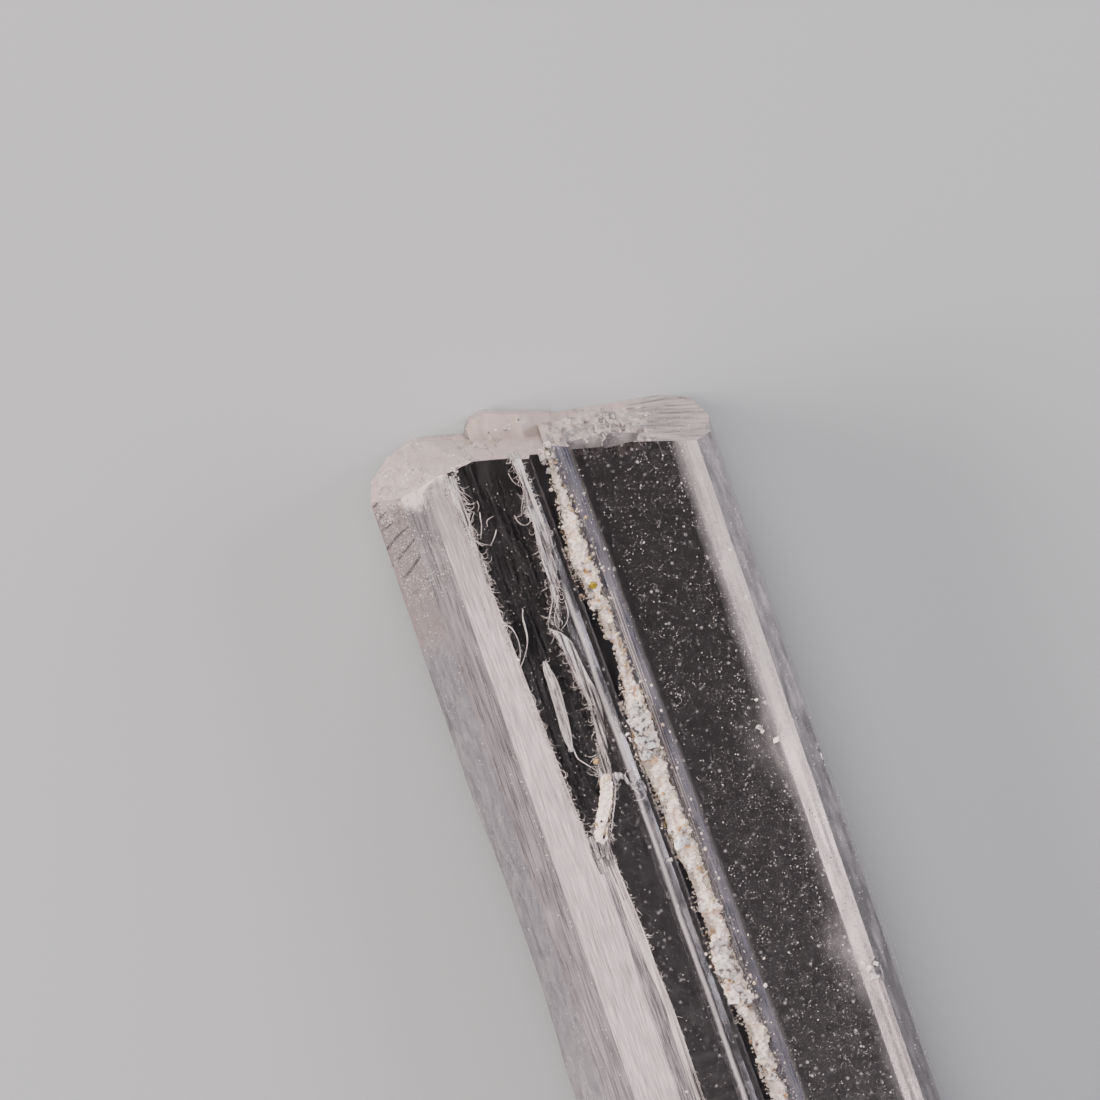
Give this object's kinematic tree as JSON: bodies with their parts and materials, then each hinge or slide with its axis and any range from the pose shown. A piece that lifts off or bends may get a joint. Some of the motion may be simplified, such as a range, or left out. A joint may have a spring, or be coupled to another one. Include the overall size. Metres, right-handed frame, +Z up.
{
  "type": "nifontovite crystal",
  "caption": "Clear, striated crystal prism lying on its flat back, with slanted end faces, a crusted groove along the front and a torn fibrous seam.",
  "frame": {"origin": "on the resting face, at the middle of the bounding box", "axes": "+Y along the crystal towards its natural end faces, +X to its right seen from above, +Z up out of the front face"},
  "size_m": [0.01, 0.0302, 0.0071],
  "materials": {
    "crystal": "gloss",
    "groove_crust": "matte",
    "seam_vein": "matte"
  },
  "bodies": {
    "root": {"crystal": "crystal", "groove_crust": "groove_crust", "seam_vein": "seam_vein"}
  },
  "joints": []
}
